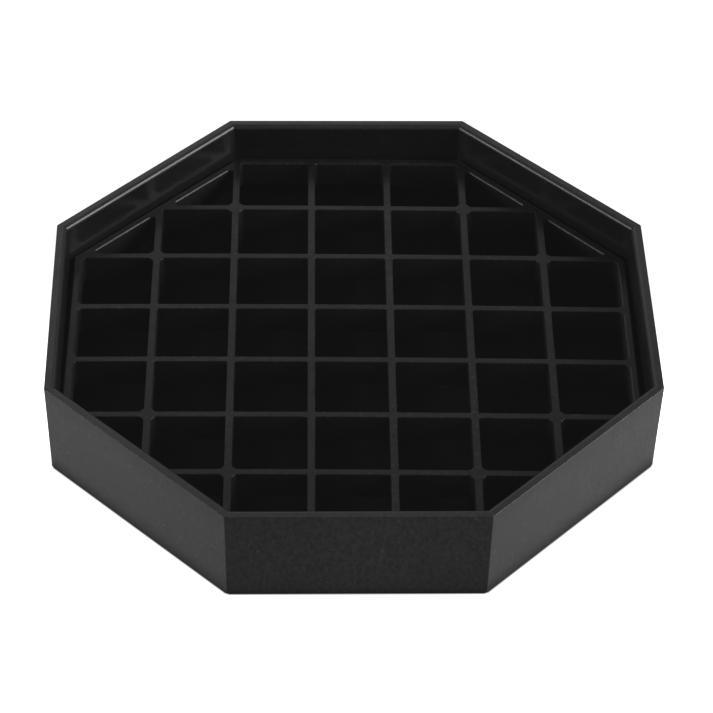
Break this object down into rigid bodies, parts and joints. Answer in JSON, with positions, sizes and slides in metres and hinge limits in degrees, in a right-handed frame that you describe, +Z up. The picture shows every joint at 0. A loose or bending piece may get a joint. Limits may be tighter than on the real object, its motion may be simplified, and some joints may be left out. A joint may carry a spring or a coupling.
{
  "type": "drip tray",
  "caption": "Octagonal black plastic drip tray with a lift-out square-mesh grate on short legs, set below the rim, to stand cups or a dispenser on.",
  "frame": {"origin": "centre of the tray's underside, on the surface it stands on", "axes": "+Z up, out of the tray's mouth; +X and +Y square to two neighbouring upright sides of the octagon, which is the same either way"},
  "size_m": [0.1524, 0.1524, 0.0267],
  "materials": {
    "tray_plastic": "black ABS, finely grained outside, glossier inside",
    "grate_plastic": "black ABS, satin"
  },
  "bodies": {
    "tray": {"tray": "tray_plastic"},
    "grate": {"grate": "grate_plastic"}
  },
  "joints": [
    {"name": "grate_lift", "type": "slide", "parent": "tray", "child": "grate", "axis": [0, 0, 1], "range_m": [0, 0.04]}
  ]
}
